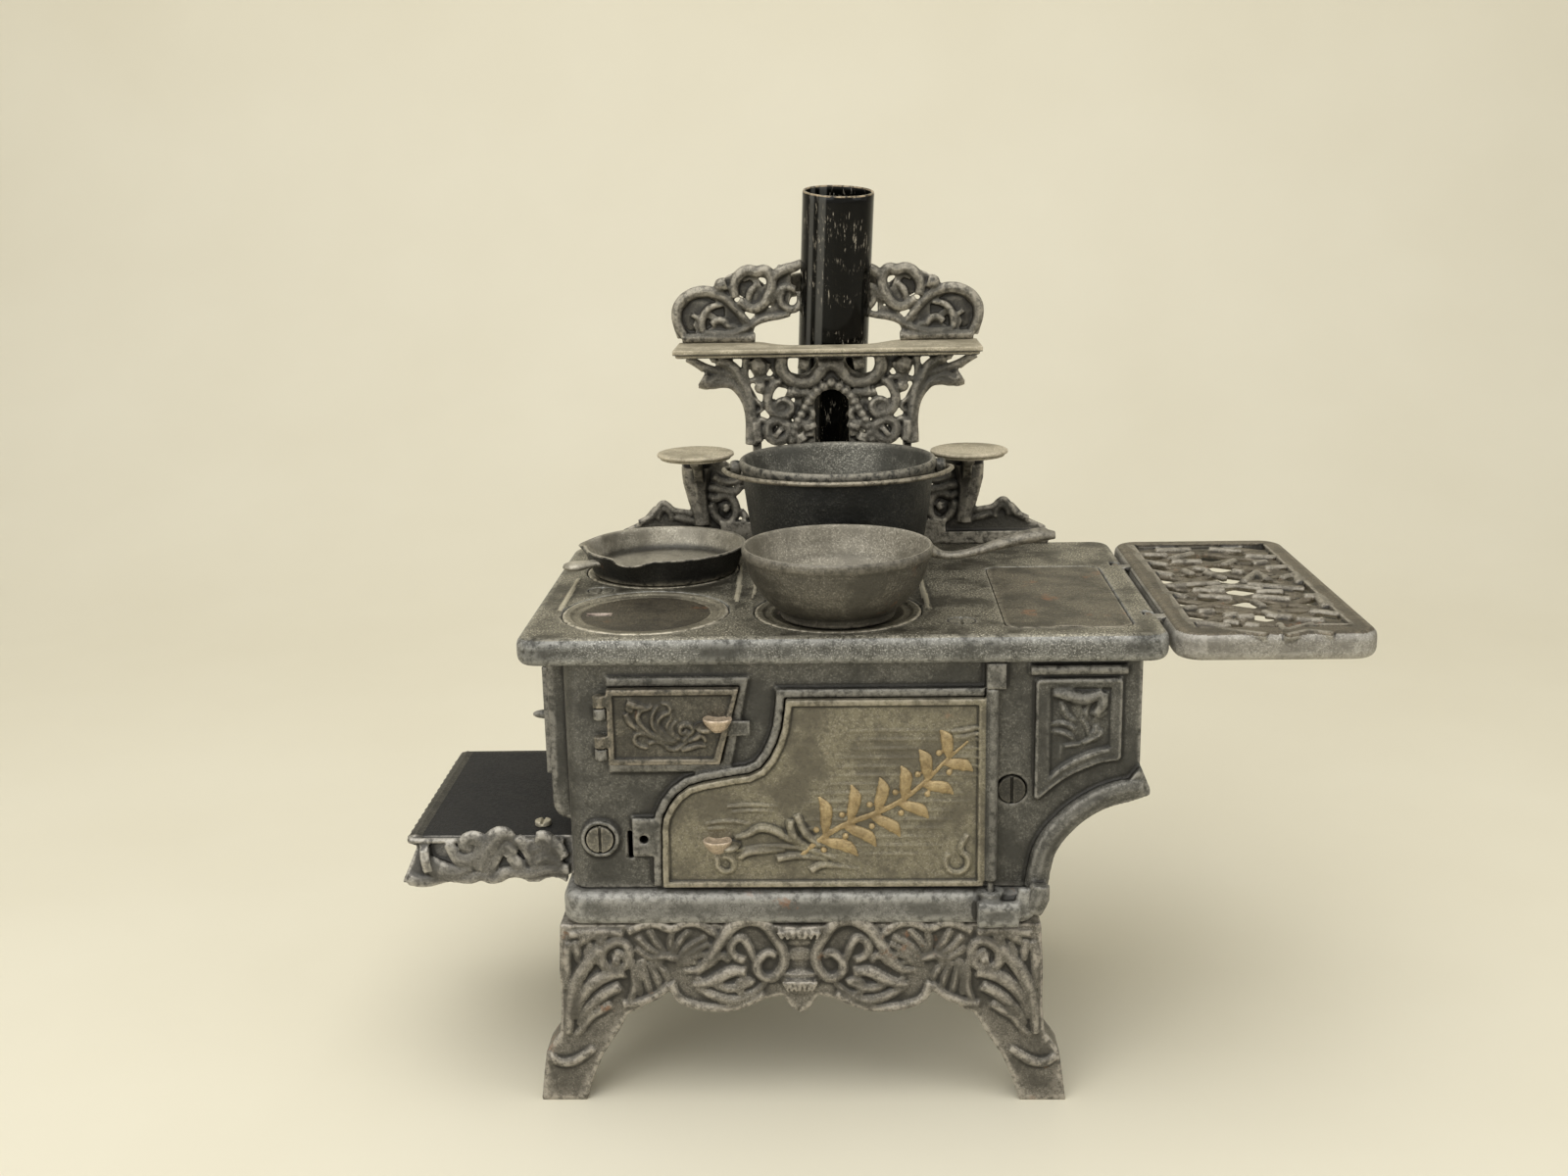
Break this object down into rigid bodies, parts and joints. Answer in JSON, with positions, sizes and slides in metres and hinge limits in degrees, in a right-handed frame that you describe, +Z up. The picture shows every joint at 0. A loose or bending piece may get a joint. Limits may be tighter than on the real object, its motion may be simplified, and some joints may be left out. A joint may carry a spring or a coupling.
{
  "type": "toy kitchen stove",
  "caption": "Toy cast iron kitchen range on cabriole legs with hinged doors, lift-out lids, hot-water reservoir, side shelf, openwork back guard, stove pipe, pot and pans.",
  "frame": {"origin": "centre of the footprint's bounding box, on the floor under the feet", "axes": "+X towards the side shelf at the reservoir end, +Y towards the back guard and pipe, +Z up along the cooktop's normal"},
  "size_m": [0.3258, 0.186, 0.308],
  "materials": {
    "body_iron": "bare grey cast iron, dark with rubbed edges and light rust",
    "dark_iron": "dark unworn cast iron",
    "top_iron": "cast iron with worn and rusted patches",
    "lid_iron": "cast iron with rubbed rings",
    "door_iron": "cast iron with rubbed relief",
    "guard_iron": "openwork cast iron with a brownish bloom",
    "pan_iron": "greyer cast iron, speckled",
    "pot_iron": "dark cast iron",
    "black_enamel": "glossy black japanning over sheet metal, scratched",
    "worn_steel": "dull steel screws",
    "bail_wire": "worn steel wire"
  },
  "bodies": {
    "stove": {"front_leg_frame": "body_iron", "rear_leg_frame": "body_iron", "base_plate": "body_iron", "front_panel": "body_iron", "back_panel": "body_iron", "left_end_panel": "body_iron", "reservoir_end_panel": "body_iron", "oven_shell": "dark_iron", "firebox_grate": "dark_iron", "reservoir_tank": "dark_iron", "cooktop": "top_iron", "hearth_shelf": "body_iron", "flue_box": "dark_iron", "back_guard": "guard_iron", "left_trivet": "guard_iron", "right_trivet": "guard_iron", "high_shelf": "guard_iron", "shelf_crest": "guard_iron", "left_tie_bolt": "worn_steel", "right_tie_bolt": "worn_steel", "left_tie_nut": "worn_steel", "right_tie_nut": "worn_steel", "hearth_screw": "worn_steel", "left_top_screw": "worn_steel", "right_top_screw": "worn_steel"},
    "lid_front_left": {"lid_front_left": "lid_iron"},
    "lid_front_right": {"lid_front_right": "lid_iron"},
    "lid_rear_left": {"lid_rear_left": "lid_iron"},
    "lid_rear_right": {"lid_rear_right": "lid_iron"},
    "reservoir_cover": {"reservoir_cover": "lid_iron"},
    "side_shelf": {"side_shelf": "body_iron"},
    "fire_door": {"fire_door": "door_iron"},
    "oven_door": {"oven_door": "door_iron"},
    "end_door": {"end_door": "door_iron"},
    "stove_pipe": {"stove_pipe": "black_enamel"},
    "saucepan": {"saucepan": "pan_iron"},
    "skillet": {"skillet": "pan_iron"},
    "pot": {"pot": "pot_iron"},
    "pot_bail": {"pot_bail": "bail_wire"}
  },
  "joints": [
    {"name": "oven_door_hinge", "type": "hinge", "parent": "stove", "child": "oven_door", "pos_m": [0.0393, -0.0843, 0.115], "axis": [0, 0, 1], "range_deg": [0, 110]},
    {"name": "fire_door_hinge", "type": "hinge", "parent": "stove", "child": "fire_door", "pos_m": [-0.0893, -0.0843, 0.137], "axis": [0, 0, -1], "range_deg": [0, 110]},
    {"name": "end_door_hinge", "type": "hinge", "parent": "stove", "child": "end_door", "pos_m": [-0.1115, 0.0099, 0.132], "axis": [0, 0, -1], "range_deg": [0, 100]},
    {"name": "side_shelf_hooks", "type": "hinge", "parent": "stove", "child": "side_shelf", "pos_m": [0.0931, -0.0255, 0.16625], "axis": [0, -1, 0], "range_deg": [0, 80]},
    {"name": "lid_front_left_lift", "type": "slide", "parent": "stove", "child": "lid_front_left", "axis": [0, 0, 1], "range_m": [0, 0.012]},
    {"name": "lid_front_right_lift", "type": "slide", "parent": "stove", "child": "lid_front_right", "axis": [0, 0, 1], "range_m": [0, 0.006]},
    {"name": "lid_rear_left_lift", "type": "slide", "parent": "stove", "child": "lid_rear_left", "axis": [0, 0, 1], "range_m": [0, 0.008]},
    {"name": "lid_rear_right_lift", "type": "slide", "parent": "stove", "child": "lid_rear_right", "axis": [0, 0, 1], "range_m": [0, 0.012]},
    {"name": "reservoir_cover_lift", "type": "slide", "parent": "stove", "child": "reservoir_cover", "axis": [0, 0, 1], "range_m": [0, 0.012]},
    {"name": "saucepan_lift", "type": "slide", "parent": "lid_front_right", "child": "saucepan", "axis": [0, 0, 1], "range_m": [0, 0.006]},
    {"name": "skillet_lift", "type": "slide", "parent": "lid_rear_left", "child": "skillet", "axis": [0, 0, 1], "range_m": [0, 0.012]},
    {"name": "pot_lift", "type": "slide", "parent": "lid_rear_right", "child": "pot", "axis": [0, 0, 1], "range_m": [0, 0.016]},
    {"name": "pot_bail_swing", "type": "hinge", "parent": "pot", "child": "pot_bail", "pos_m": [-0.0105, 0.007, 0.2065], "axis": [1, 0, 0], "range_deg": [-150, 0]},
    {"name": "stove_pipe_draw", "type": "slide", "parent": "stove", "child": "stove_pipe", "axis": [0.0445, -0.139, 0.9893], "range_m": [0, 0.06]}
  ]
}
